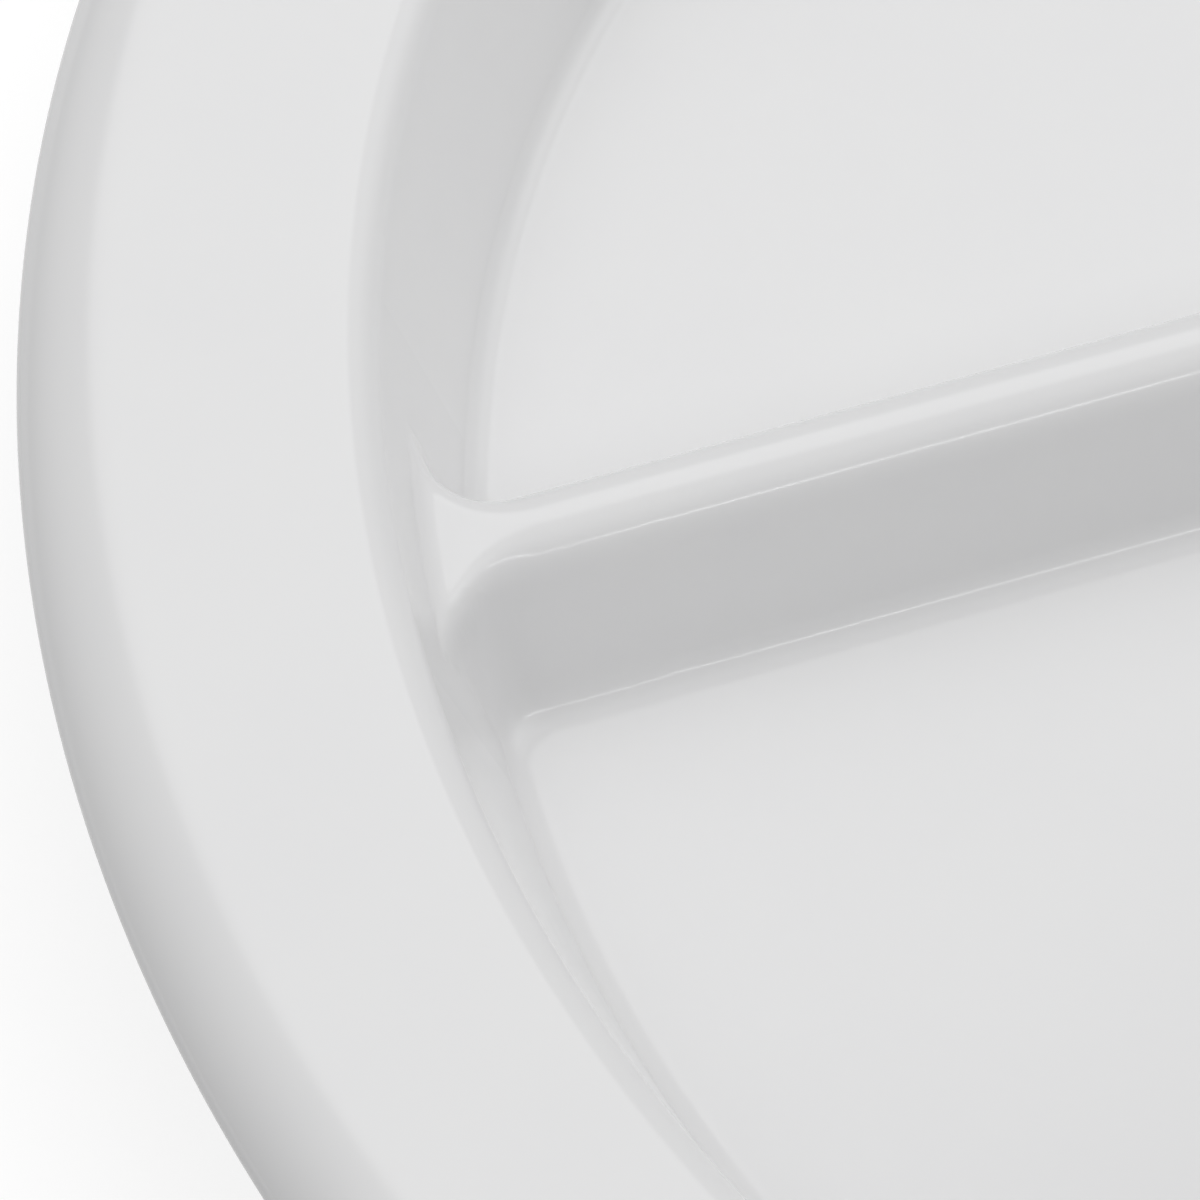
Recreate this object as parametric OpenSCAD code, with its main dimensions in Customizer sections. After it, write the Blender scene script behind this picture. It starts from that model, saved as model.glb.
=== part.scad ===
// Round three-compartment plate, moulded in one colour.
// A rim with a rolled edge runs round a deep well, and raised dividers cut the well
// into one large and two small compartments. The shell has one thickness all over,
// so the dividers are hollow underneath, and the plate stands on a foot ring.
// The moulding is given as its parts, cut where its surfaces are plain and meeting
// face to face. The long divider runs along X, and the large compartment lies on its -Y side.

/* [Plate] */
// Outer diameter, across the rolled edge
plate_d = 260; // [220:1:300]
// Thickness of the moulded shell
shell_t = 3.4; // [2.8:0.1:3.8]
// Height of the rim's inner edge above the floor
well_depth = 21.5; // [18.5:0.5:26]
// Slope of the well wall, in degrees above level
wall_slope = 73; // [70:1:80]
// Radius at the foot of the wall
floor_fillet_r = 2.4; // [1.5:0.1:4.5]
// Radius where the wall turns onto the rim
knee_r = 3.2; // [2.5:0.1:5]
// Radius under the rim, outside the wall
under_knee_r = 3; // [2:0.1:4]

/* [Rim] */
// Width of the rim, from the edge of the well to the outer edge
rim_w = 22.3; // [16:0.1:32]
// Slope of the rim, in degrees, rising outwards
rim_slope = 8; // [2:1:12]
// Radius of the rolled edge, on its upper side
roll_r = 7.5; // [5:0.1:9]
// How far the edge rolls down, in degrees
roll_angle = 48; // [35:1:60]

/* [Dividers] */
// Height of the dividers above the floor
divider_h = 12.4; // [9:0.1:14]
// Slope of the dividers' faces, in degrees
divider_slope = 66; // [60:1:70]
// Radius at the foot of the dividers
divider_fillet_r = 3; // [2:0.1:4.5]
// Radius of the dividers' rounded crest
crest_r = 3.7; // [3:0.1:4.5]
// Radius at the top of the hollow inside a divider
groove_top_r = 1.5; // [1:0.1:2]
// Distance of the long divider's centre line from the plate's axis
divider_offset = 17.8; // [0:0.2:26]
// Corner radius at the floor, where a divider meets the wall or another divider
root_floor_r = 3; // [2:0.1:5]
// The same corner's radius at the height of the crest
root_top_r = 8; // [5:0.1:10]
// How late the corner widens on its way up: 1 is evenly, more is close to the crest
root_growth = 3; // [1:0.5:4]
// Radius at which the crest sweeps up the wall
crest_root_r = 4.5; // [3:0.1:6]

/* [Foot ring] */
// Height of the foot ring below the floor
foot_h = 2; // [1:0.1:3]
// Width of the foot ring where it leaves the floor
foot_w = 5; // [4:0.1:7]
// Width of the flat land that the plate stands on
foot_land_w = 2.6; // [1.5:0.1:4]
// Radius beside the land
foot_edge_r = 0.7; // [0.3:0.1:0.9]
// Distance from the edge of the flat floor in to the foot ring
foot_inset = 7; // [5:0.5:12]

/* [Hidden] */
$fn = 180;

// Width of plain floor or rim that the piece beside it carries past a fillet
seam_w = 1;
// Length over which a divider's straight rows turn into arcs about the plate's axis
row_turn = 3;
// Two grid lines closer than this are one
least_step = 0.1;
// Steps along each round stretch, and halvings when a height is searched
fillet_steps = 4;
wall_steps = 4;
knee_steps = 5;
crest_steps = 4;
spread_steps = 3;
round_steps = 12;
halvings = 22;

// Levels
under_z = foot_h;
floor_z = foot_h + shell_t;
rim_z = floor_z + well_depth;

// Inner surface of the well, from the rim down to the flat floor
knee_end_r = plate_d / 2 - rim_w;
knee_start_r = knee_end_r - knee_r * (sin(wall_slope) - sin(rim_slope));
knee_start_z = rim_z - knee_r * (cos(rim_slope) - cos(wall_slope));
fillet_end_z = floor_z + floor_fillet_r * (1 - cos(wall_slope));
fillet_end_r = knee_start_r - (knee_start_z - fillet_end_z) / tan(wall_slope);
floor_r = fillet_end_r - floor_fillet_r * sin(wall_slope);

// Outer surface of the wall, one shell thickness away
under_fillet_r = floor_fillet_r + shell_t;
under_fillet_end_r = floor_r + under_fillet_r * sin(wall_slope);
under_fillet_end_z = under_z + under_fillet_r * (1 - cos(wall_slope));
rim_drop = shell_t / cos(rim_slope);
under_corner_r = (rim_z - rim_drop - knee_end_r * tan(rim_slope) - under_fillet_end_z
                  + under_fillet_end_r * tan(wall_slope)) / (tan(wall_slope) - tan(rim_slope));
under_knee_run = under_knee_r * tan((wall_slope - rim_slope) / 2);
under_knee_start_r = under_corner_r - under_knee_run * cos(wall_slope);
under_knee_start_z = under_fillet_end_z + (under_knee_start_r - under_fillet_end_r) * tan(wall_slope);
under_knee_end_r = under_corner_r + under_knee_run * cos(rim_slope);

// Rolled edge: its centre, and where the plain rim ends
nose_r = shell_t / 2;
roll_c_r = plate_d / 2 - nose_r - (roll_r - nose_r) * sin(roll_angle);
roll_start_r = roll_c_r - roll_r * sin(rim_slope);
roll_c_z = rim_z + (roll_start_r - knee_end_r) * tan(rim_slope) - roll_r * cos(rim_slope);

// Seams between the pieces
floor_seam_r = floor_r - seam_w;
rim_seam_r = max(knee_end_r, under_knee_end_r) + seam_w;
roll_seam_r = roll_start_r - seam_w;

// Half width of a divider at the floor, and the depth of the hollow that this leaves
divider_w = (crest_r + divider_fillet_r) * sin(divider_slope)
    + (divider_h - (crest_r + divider_fillet_r) * (1 - cos(divider_slope))) / tan(divider_slope);
groove_foot_r = divider_fillet_r + shell_t;
groove_arcs_r = groove_foot_r + groove_top_r;
groove_h = groove_arcs_r * (1 - cos(divider_slope))
    + (divider_w - groove_arcs_r * sin(divider_slope)) * tan(divider_slope);
// A section is its foot radius, top radius, height and what its root radii gain
rib = [divider_fillet_r, crest_r, divider_h, 0];
groove = [groove_foot_r, groove_top_r, groove_h, shell_t];

// Plan of the dividers: a straight bar, and a root that spreads where it meets the wall
bar_w = divider_w + seam_w;
root_w = divider_w + root_floor_r + seam_w;
hub_w = divider_w + root_top_r + seam_w;
wall_foot_r = floor_r + floor_fillet_r * tan(wall_slope / 2);
root_start_r = min(floor_r - root_floor_r, wall_foot_r + divider_h / tan(wall_slope) - root_top_r) - seam_w;
sweep_start_r = wall_foot_r + (divider_h + crest_root_r) / tan(wall_slope) - crest_root_r / sin(wall_slope);
sweep_end_r = sweep_start_r + crest_root_r * sin(wall_slope);
back_start = divider_offset + hub_w;

// Foot ring
foot_out_r = floor_r - foot_inset;
foot_in_r = foot_out_r - foot_w;

// Points along an arc, from angle a to angle b
function arc(c, r, a, b, steps) =
    [for (i = [0:steps]) c + r * [cos(a + (b - a) * i / steps), sin(a + (b - a) * i / steps)]];

function sorted(v) =
    len(v) < 2 ? v :
    let (p = v[floor(len(v) / 2)])
    concat(sorted([for (x = v) if (x < p) x]), [p], sorted([for (x = v) if (x > p) x]));

function spaced(v) = [for (i = [0:len(v) - 1]) if (i == 0 || v[i] - v[i - 1] > least_step) v[i]];

// Height of the well's inner surface at radius r
function wall_top(r) =
    r <= floor_r ? floor_z :
    r <= fillet_end_r ? floor_z + floor_fillet_r - sqrt(pow(floor_fillet_r, 2) - pow(r - floor_r, 2)) :
    r <= knee_start_r ? fillet_end_z + (r - fillet_end_r) * tan(wall_slope) :
    r <= knee_end_r ? knee_start_z - knee_r * cos(wall_slope)
        + sqrt(pow(knee_r, 2) - pow(knee_r * sin(wall_slope) - r + knee_start_r, 2)) :
    rim_z + (r - knee_end_r) * tan(rim_slope);

// Height of the underside at radius r
function wall_under(r) =
    r <= floor_r ? under_z :
    r <= under_fillet_end_r ? under_z + under_fillet_r - sqrt(pow(under_fillet_r, 2) - pow(r - floor_r, 2)) :
    r <= under_knee_start_r ? under_fillet_end_z + (r - under_fillet_end_r) * tan(wall_slope) :
    r <= under_knee_end_r ? under_knee_start_z - under_knee_r * cos(wall_slope)
        + sqrt(pow(under_knee_r, 2) - pow(under_knee_r * sin(wall_slope) - r + under_knee_start_r, 2)) :
    rim_z + (r - knee_end_r) * tan(rim_slope) - rim_drop;

// Inner radius of the wall at height z above the floor
function wall_r(z) =
    z <= fillet_end_z - floor_z ? floor_r + sqrt(pow(floor_fillet_r, 2) - pow(floor_fillet_r - z, 2)) :
    wall_foot_r + z / tan(wall_slope);

// Radii at which the wall's section has a point
wall_radii = spaced(sorted(concat(
    [floor_seam_r, rim_seam_r],
    [for (i = [0:fillet_steps]) floor_r + floor_fillet_r * sin(wall_slope * i / fillet_steps)],
    [for (i = [0:wall_steps]) fillet_end_r + (knee_start_r - fillet_end_r) * i / wall_steps],
    [for (i = [0:knee_steps])
        knee_end_r - knee_r * (sin(rim_slope + (wall_slope - rim_slope) * i / knee_steps) - sin(rim_slope))],
    [for (i = [1:knee_steps - 1]) under_knee_end_r
        - (under_knee_end_r - under_knee_start_r) * i / knee_steps],
    [under_knee_end_r])));

// Half width of a section at height z over its base
function section_w(s, z) =
    let (foot_z = s[0] * (1 - cos(divider_slope)),
         top_z = s[2] - s[1] * (1 - cos(divider_slope)))
    z <= 0 ? divider_w :
    z <= foot_z ? divider_w - sqrt(pow(s[0], 2) - pow(s[0] - z, 2)) :
    z <= top_z ? divider_w - s[0] * sin(divider_slope) - (z - foot_z) / tan(divider_slope) :
    z < s[2] ? sqrt(pow(s[1], 2) - pow(z - s[2] + s[1], 2)) :
    0;

// Height of a section at distance d from its centre line
function section_z(s, d) =
    let (foot_d = divider_w - s[0] * sin(divider_slope),
         foot_z = s[0] * (1 - cos(divider_slope)))
    d >= divider_w ? 0 :
    d >= foot_d ? s[0] - sqrt(pow(s[0], 2) - pow(divider_w - d, 2)) :
    d >= s[1] * sin(divider_slope) ? foot_z + (foot_d - d) * tan(divider_slope) :
    s[2] - s[1] + sqrt(pow(s[1], 2) - pow(d, 2));

// Whether two faces, at distances a and b, share a rounded corner that holds this point
function in_corner(s, a, b, z) =
    let (r = s[3] + root_floor_r + (root_top_r - root_floor_r) * pow(z / s[2], root_growth))
    a < r && b < r && pow(r - a, 2) + pow(r - b, 2) > pow(r, 2);

// Height of a divider's crest over the floor at radius r, where it sweeps up the wall
function crest_z(r) =
    r <= sweep_start_r ? divider_h :
    r <= sweep_end_r ? divider_h + crest_root_r - sqrt(pow(crest_root_r, 2) - pow(r - sweep_start_r, 2)) :
    wall_top(r) - floor_z;

// Height of a divider at offset n and plan radius r, with the corners it shares with the wall
function root_z(n, r, low = 0, high = -1, step = 0) =
    let (crest = crest_z(r), top = high < 0 ? crest : high, z = (low + top) / 2,
         a = wall_r(z) - r, b = abs(n) - section_w(rib, z - crest + divider_h))
    r <= root_start_r ? section_z(rib, abs(n)) :
    step == halvings ? z :
    b < 0 || in_corner(rib, a, b, z) ? root_z(n, r, z, top, step + 1)
        : root_z(n, r, low, z, step + 1);

// Height of a section where the back divider leaves the long one, at x and y from their crossing
function hub_z(s, x, y, low = 0, high = -1, step = 0) =
    let (top = high < 0 ? s[2] : high, z = (low + top) / 2,
         a = abs(y) - section_w(s, z), b = abs(x) - section_w(s, z))
    y <= 0 ? section_z(s, abs(y)) :
    step == halvings ? z :
    a < 0 || b < 0 || in_corner(s, a, b, z) ? hub_z(s, x, y, z, top, step + 1)
        : hub_z(s, x, y, low, z, step + 1);

// Distances from the centre line at which a divider's section has a point
half_columns = concat(
    [for (i = [0:crest_steps]) crest_r * sin(divider_slope * i / crest_steps)],
    [(crest_r * sin(divider_slope) + divider_w - divider_fillet_r * sin(divider_slope)) / 2],
    [for (i = [fillet_steps:-1:0]) divider_w - divider_fillet_r * sin(divider_slope * i / fillet_steps)],
    [bar_w]);
last = len(half_columns) - 1;
columns = concat([for (i = [last:-1:1]) -half_columns[i]], half_columns);
groove_rows = [for (i = [0:last - 1]) half_columns[i]];

// Places along a divider whose centre line passes the plate's axis at offset f
function root_angle(f, n) =
    let (low = asin((f - root_w) / floor_r), high = asin((f + root_w) / floor_r))
    low + (high - low) * (n + bar_w) / (2 * bar_w);
function bar_end(f) = sqrt(pow(root_start_r - row_turn, 2) - pow(f + bar_w, 2));
function groove_end(f) = sqrt(pow(foot_in_r, 2) - pow(f + divider_w, 2)) - divider_w - seam_w;
function polar(r, a) = r * [cos(a), sin(a)];

// Rows of the divider's surface: each is a straight line, a line part way to the root, or an arc
function bar_rows(f, start) = concat(
    [for (u = concat([start], [for (g = groove_rows) groove_end(f) + g], [bar_end(f)]))
        [for (n = columns) [u, f + n]]],
    [for (i = [1:spread_steps - 1])
        [for (n = columns) [bar_end(f), f + n] * (1 - i / spread_steps)
            + polar(root_start_r, root_angle(f, n)) * i / spread_steps]],
    [for (r = concat([root_start_r, (root_start_r + floor_seam_r) / 2], wall_radii))
        [for (n = columns) polar(r, root_angle(f, n))]]);

// A closed solid between two surfaces over the same grid of plan points
module sheet(plan, top, under) {
    rows = len(plan);
    cols = len(plan[0]);
    size = rows * cols;
    points = concat(
        [for (i = [0:rows - 1]) for (j = [0:cols - 1]) [plan[i][j][0], plan[i][j][1], top[i][j]]],
        [for (i = [0:rows - 1]) for (j = [0:cols - 1]) [plan[i][j][0], plan[i][j][1], under[i][j]]]);
    edge = concat(
        [for (i = [0:rows - 2]) i * cols],
        [for (j = [0:cols - 2]) (rows - 1) * cols + j],
        [for (i = [rows - 1:-1:1]) i * cols + cols - 1],
        [for (j = [cols - 1:-1:1]) j]);
    faces = concat(
        [for (i = [0:rows - 2]) for (j = [0:cols - 2]) let (k = i * cols + j)
            each [[k, k + 1, k + cols], [k + 1, k + cols + 1, k + cols]]],
        [for (i = [0:rows - 2]) for (j = [0:cols - 2]) let (k = size + i * cols + j)
            each [[k, k + cols, k + 1], [k + 1, k + cols, k + cols + 1]]],
        [for (i = [0:len(edge) - 1]) let (a = edge[i], b = edge[(i + 1) % len(edge)])
            each [[a, b, size + b], [a, size + b, size + a]]]);
    polyhedron(points, faces, convexity = 4);
}

// One divider along +X from its start to the wall, with its hollow and its spreading root
module divider_arm(f, start) {
    plan = bar_rows(f, start);
    top = [for (row = plan) [for (p = row) max(wall_top(norm(p)), floor_z + root_z(p[1] - f, norm(p)))]];
    under = [for (row = plan) [for (p = row) max(wall_under(norm(p)),
        under_z + section_z(groove, norm([max(0, p[0] - groove_end(f)), p[1] - f])))]];
    sheet(plan, top, under);
}

// Plan outline of the same divider
function arm_outline(f, start) =
    let (low = root_angle(f, -bar_w), high = root_angle(f, bar_w))
    [[start, f - bar_w], [bar_end(f), f - bar_w], polar(root_start_r, low), polar(rim_seam_r, low),
     polar(rim_seam_r, high), polar(root_start_r, high), [bar_end(f), f + bar_w], [start, f + bar_w]];

module divider_plan() {
    polygon(arm_outline(divider_offset, hub_w));
    mirror([1, 0]) polygon(arm_outline(divider_offset, hub_w));
    rotate(90) polygon(arm_outline(0, back_start));
    translate([-hub_w, divider_offset - bar_w]) square([2 * hub_w, bar_w + hub_w]);
}

// Flat floor of one compartment: the part of the disc that lies inside a region
module floor_part() {
    translate([0, 0, under_z]) linear_extrude(shell_t) intersection() {
        difference() {
            circle(r = floor_seam_r);
            divider_plan();
        }
        children();
    }
}

// Well wall from angle a to angle b
module wall_part(a, b) {
    section = concat(
        [for (r = wall_radii) [r, wall_top(r)]],
        [for (i = [len(wall_radii) - 1:-1:0]) [wall_radii[i], wall_under(wall_radii[i])]]);
    rotate(a) rotate_extrude(angle = b - a) polygon(section);
}

module rim_edge() {
    c = [roll_c_r, roll_c_z];
    nose_c = c + (roll_r - nose_r) * [sin(roll_angle), cos(roll_angle)];
    color("whitesmoke") rotate_extrude() polygon(concat(
        [[roll_seam_r, wall_top(roll_seam_r)]],
        arc(c, roll_r, 90 + rim_slope, 90 - roll_angle, round_steps),
        arc(nose_c, nose_r, 90 - roll_angle, -90 - roll_angle, round_steps),
        arc(c, roll_r - shell_t, 90 - roll_angle, 90 + rim_slope, round_steps),
        [[roll_seam_r, wall_under(roll_seam_r)]]));
}

module rim() {
    color("whitesmoke") rotate_extrude() polygon([
        [rim_seam_r, wall_top(rim_seam_r)], [roll_seam_r, wall_top(roll_seam_r)],
        [roll_seam_r, wall_under(roll_seam_r)], [rim_seam_r, wall_under(rim_seam_r)]]);
}

module main_wall() {
    low = root_angle(divider_offset, -bar_w);
    color("whitesmoke") wall_part(180 - low, 360 + low);
}

module left_wall() {
    color("whitesmoke") wall_part(90 + root_angle(0, bar_w), 180 - root_angle(divider_offset, bar_w));
}

module right_wall() {
    color("whitesmoke") wall_part(root_angle(divider_offset, bar_w), 90 - root_angle(0, bar_w));
}

module main_floor() {
    color("whitesmoke") floor_part() translate([-plate_d / 2, divider_offset - plate_d])
        square(plate_d);
}

module left_floor() {
    color("whitesmoke") floor_part() translate([-plate_d, divider_offset]) square(plate_d);
}

module right_floor() {
    color("whitesmoke") floor_part() translate([0, divider_offset]) square(plate_d);
}

module left_divider() {
    color("white") mirror([1, 0, 0]) divider_arm(divider_offset, hub_w);
}

module right_divider() {
    color("white") divider_arm(divider_offset, hub_w);
}

module back_divider() {
    color("white") rotate(90) divider_arm(0, back_start);
}

// Where the three dividers meet
module divider_hub() {
    outer = [for (i = [1:spread_steps]) bar_w + (hub_w - bar_w) * i / spread_steps];
    xs = concat([for (i = [spread_steps - 1:-1:0]) -outer[i]], columns, outer);
    ys = concat(columns, outer);
    plan = [for (x = xs) [for (y = ys) [x, divider_offset + y]]];
    top = [for (x = xs) [for (y = ys) floor_z + hub_z(rib, x, y)]];
    under = [for (x = xs) [for (y = ys) under_z + hub_z(groove, x, y)]];
    color("white") sheet(plan, top, under);
}

module foot_ring() {
    draft = (foot_w - foot_land_w) / 2 - foot_edge_r;
    in_c = [foot_in_r + draft + foot_edge_r, foot_edge_r];
    out_c = [foot_out_r - draft - foot_edge_r, foot_edge_r];
    color("whitesmoke") rotate_extrude() polygon(concat(
        [[foot_out_r, foot_h], [foot_in_r, foot_h]],
        arc(in_c, foot_edge_r, 180, 270, fillet_steps),
        arc(out_c, foot_edge_r, 270, 360, fillet_steps)));
}

rim_edge();
rim();
main_wall();
left_wall();
right_wall();
main_floor();
left_floor();
right_floor();
left_divider();
right_divider();
back_divider();
divider_hub();
foot_ring();
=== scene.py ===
# %% [markdown]
# # A divided plate, moulded in white melamine
# The real plate is one compression-moulded shell: rim, well, dividers and foot ring come out
# of the press together. The CAD model gives it as thirteen pieces that meet face to face, so
# the lesson is about making touching pieces look like one glossy surface, and about light
# that shows the form of something white on white.

# %% Load the CAD model
import math

import bpy
import numpy as np
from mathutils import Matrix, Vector


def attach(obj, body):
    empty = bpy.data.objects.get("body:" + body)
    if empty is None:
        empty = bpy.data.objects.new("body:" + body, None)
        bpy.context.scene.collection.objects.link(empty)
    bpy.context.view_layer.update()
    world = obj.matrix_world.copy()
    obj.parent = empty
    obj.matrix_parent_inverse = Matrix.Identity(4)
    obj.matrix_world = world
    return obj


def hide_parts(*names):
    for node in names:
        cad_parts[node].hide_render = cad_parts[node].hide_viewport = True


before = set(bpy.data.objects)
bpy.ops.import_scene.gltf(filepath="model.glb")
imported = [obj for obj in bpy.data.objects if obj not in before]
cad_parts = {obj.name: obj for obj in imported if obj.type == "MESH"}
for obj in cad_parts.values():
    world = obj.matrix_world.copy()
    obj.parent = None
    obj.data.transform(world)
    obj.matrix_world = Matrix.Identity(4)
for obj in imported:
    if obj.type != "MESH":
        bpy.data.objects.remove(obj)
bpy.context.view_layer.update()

print("CAD pieces:", sorted(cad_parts))

# %% [markdown]
# ## Sizes
# Everything is drawn in millimetres, with the same sizes as the CAD model, and turned to
# metres only where Blender gets it. One size differs: CREST_ROOT_R, the crest's sweep up the
# wall, is tighter here, as the close view asks. What follows from another size is worked out
# once. The well is seen as a section: the radius from the plate's axis, and the height.

# %% Sizes in millimetres
MM = 0.001
PLATE_D, SHELL_T, WELL_DEPTH, RIM_W = 260, 3.4, 21.5, 22.3
WALL_SLOPE, RIM_SLOPE, DIVIDER_SLOPE = math.radians(73), math.radians(8), math.radians(66)
FLOOR_FILLET_R, KNEE_R, UNDER_KNEE_R = 2.4, 3.2, 3
ROLL_R, ROLL_ANGLE = 7.5, math.radians(48)
DIVIDER_H, DIVIDER_FILLET_R, CREST_R, GROOVE_TOP_R, DIVIDER_OFFSET = 12.4, 3, 3.7, 1.5, 17.8
ROOT_FLOOR_R, ROOT_TOP_R, ROOT_GROWTH, CREST_ROOT_R = 3, 8, 3, 2
FOOT_H, FOOT_W, FOOT_LAND_W, FOOT_EDGE_R, FOOT_INSET = 2, 5, 2.6, 0.7, 7
SEAM_W, ROW_TURN = 1, 3

UNDER_Z = FOOT_H
FLOOR_Z = FOOT_H + SHELL_T
RIM_Z = FLOOR_Z + WELL_DEPTH
knee_end_r = PLATE_D / 2 - RIM_W
knee_start_r = knee_end_r - KNEE_R * (math.sin(WALL_SLOPE) - math.sin(RIM_SLOPE))
knee_start_z = RIM_Z - KNEE_R * (math.cos(RIM_SLOPE) - math.cos(WALL_SLOPE))
knee_c_r = knee_start_r + KNEE_R * math.sin(WALL_SLOPE)
knee_c_z = knee_start_z - KNEE_R * math.cos(WALL_SLOPE)
fillet_end_z = FLOOR_Z + FLOOR_FILLET_R * (1 - math.cos(WALL_SLOPE))
fillet_end_r = knee_start_r - (knee_start_z - fillet_end_z) / math.tan(WALL_SLOPE)
floor_r = fillet_end_r - FLOOR_FILLET_R * math.sin(WALL_SLOPE)
under_fillet_r = FLOOR_FILLET_R + SHELL_T
under_fillet_end_r = floor_r + under_fillet_r * math.sin(WALL_SLOPE)
under_fillet_end_z = UNDER_Z + under_fillet_r * (1 - math.cos(WALL_SLOPE))
rim_drop = SHELL_T / math.cos(RIM_SLOPE)
under_rim_z = RIM_Z - rim_drop - knee_end_r * math.tan(RIM_SLOPE)
under_wall_z = under_fillet_end_z - under_fillet_end_r * math.tan(WALL_SLOPE)
under_corner_r = (under_rim_z - under_wall_z) / (math.tan(WALL_SLOPE) - math.tan(RIM_SLOPE))
under_knee_run = UNDER_KNEE_R * math.tan((WALL_SLOPE - RIM_SLOPE) / 2)
under_knee_start_r = under_corner_r - under_knee_run * math.cos(WALL_SLOPE)
under_knee_start_z = under_wall_z + under_knee_start_r * math.tan(WALL_SLOPE)
under_knee_end_r = under_corner_r + under_knee_run * math.cos(RIM_SLOPE)
under_knee_c_r = under_knee_start_r + UNDER_KNEE_R * math.sin(WALL_SLOPE)
under_knee_c_z = under_knee_start_z - UNDER_KNEE_R * math.cos(WALL_SLOPE)
nose_r = SHELL_T / 2
roll_c_r = PLATE_D / 2 - nose_r - (ROLL_R - nose_r) * math.sin(ROLL_ANGLE)
roll_start_r = roll_c_r - ROLL_R * math.sin(RIM_SLOPE)
roll_c_z = RIM_Z + (roll_start_r - knee_end_r) * math.tan(RIM_SLOPE) - ROLL_R * math.cos(RIM_SLOPE)
floor_seam_r = floor_r - SEAM_W
rim_seam_r = max(knee_end_r, under_knee_end_r) + SEAM_W
roll_seam_r = roll_start_r - SEAM_W
wall_foot_r = floor_r + FLOOR_FILLET_R * math.tan(WALL_SLOPE / 2)
print(f"flat floor {2 * floor_r:.1f} mm across, rim from {knee_end_r:.1f} to {PLATE_D / 2} mm")

# %% [markdown]
# ## The camera
# The photograph is a close view of the plate's left third, so the camera is long and stands
# at the front left. It was found by fitting the plate's outer edge, both arcs of the floor's
# edge and the divider's lines to their places in the picture.

# %% Camera
CAMERA_PLACE = (-155.53, -187.79, 351.01)
CAMERA_DOWN, CAMERA_TURN = 58.011, -17.983  # degrees below the horizon, and from +Y
SENSOR_W, FOCAL_LENGTH = 36, 172.37
CLIP_START, CLIP_END = 0.01, 20

camera_data = bpy.data.cameras.new("camera")
camera_data.sensor_fit = 'HORIZONTAL'
camera_data.sensor_width = SENSOR_W
camera_data.lens = FOCAL_LENGTH
camera_data.clip_start = CLIP_START
camera_data.clip_end = CLIP_END
camera = bpy.data.objects.new("camera", camera_data)
bpy.context.scene.collection.objects.link(camera)
camera.location = [c * MM for c in CAMERA_PLACE]
camera.rotation_euler = (math.radians(90 - CAMERA_DOWN), 0, math.radians(CAMERA_TURN))
bpy.context.scene.camera = camera
print("camera at", tuple(round(c, 3) for c in camera.location))

# %% [markdown]
# ## Drawing an outline
# A moulded ring is easiest to make the way a potter's template works: draw its section once
# and turn it about the axis. The pen is a plane drawn together to one point. Straight
# strokes extrude the point, and the Spin operator carries it round an arc, so every radius
# is a true one. The same pen draws in plan for a flat piece.

# %% The pen
PEN = {"at": (0, 0), "plan": False}
WELD = 0.01  # points closer than this are merged


def place(u, v):
    """A point of the drawing, in metres: in plan it lies flat, and in section it stands on X."""
    return (u * MM, v * MM, 0) if PEN["plan"] else (u * MM, 0, v * MM)


def pen_down(name, u, v, plan=False):
    """Starts a piece with a single point."""
    PEN.update(at=(u, v), plan=plan)
    bpy.ops.object.select_all(action='DESELECT')
    bpy.ops.mesh.primitive_plane_add(size=MM)
    piece = bpy.context.object
    piece.name = piece.data.name = name
    bpy.ops.object.mode_set(mode='EDIT')
    bpy.ops.mesh.merge(type='CENTER')
    bpy.ops.transform.translate(value=place(u, v))
    return piece


def line_to(u, v):
    """Draws a straight stroke to a point."""
    step = place(u - PEN["at"][0], v - PEN["at"][1])
    bpy.ops.mesh.extrude_region_move(TRANSFORM_OT_translate={"value": step})
    PEN["at"] = (u, v)


def arc(centre, angle, steps):
    """Draws an arc about a centre, counterclockwise where the angle is positive."""
    turn = -angle if PEN["plan"] else angle
    bpy.ops.mesh.spin(steps=steps, angle=turn, center=place(*centre),
                      axis=(0, 0, 1) if PEN["plan"] else (0, 1, 0))
    du, dv = PEN["at"][0] - centre[0], PEN["at"][1] - centre[1]
    PEN["at"] = (centre[0] + du * math.cos(angle) - dv * math.sin(angle),
                 centre[1] + du * math.sin(angle) + dv * math.cos(angle))


def weld():
    """Merges points that coincide: it joins an outline's last point to the first."""
    bpy.ops.mesh.select_all(action='SELECT')
    bpy.ops.mesh.remove_doubles(threshold=WELD * MM)


# %% [markdown]
# ## Turning an outline into a solid
# Spin works on the whole outline too. A full turn is welded to its own start, and a part
# turn is closed with a face at each end. The edges where the faces meet sharply stay sharp,
# and everything else is shaded smooth.

# %% Turn and finish
RING_STEP, SHARP_ANGLE = math.radians(0.5), math.radians(35)


def face_outward():
    """Turns every face of the piece outward, and leaves edit mode."""
    bpy.ops.mesh.select_all(action='SELECT')
    bpy.ops.mesh.normals_make_consistent(inside=False)
    bpy.ops.object.mode_set(mode='OBJECT')


def turn(piece, start=0, end=2 * math.pi):
    """Spins the outline about the plate's axis, from one angle to another, and closes it."""
    whole = end - start > 2 * math.pi - RING_STEP / 2
    weld()
    bpy.ops.mesh.spin(steps=round((end - start) / RING_STEP), angle=start - end,
                      center=(0, 0, 0), axis=(0, 0, 1))
    weld()
    if not whole:
        bpy.ops.mesh.fill_holes(sides=0)
    face_outward()
    piece.rotation_euler.z = start
    bpy.ops.object.transform_apply(rotation=True)
    smooth(piece)
    return piece


def smooth(piece):
    """Shades a piece smooth, apart from its sharp edges."""
    bpy.ops.object.shade_smooth_by_angle(angle=SHARP_ANGLE)
    piece.data.update()
    print(f"{piece.name}: {len(piece.data.polygons)} faces")


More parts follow.
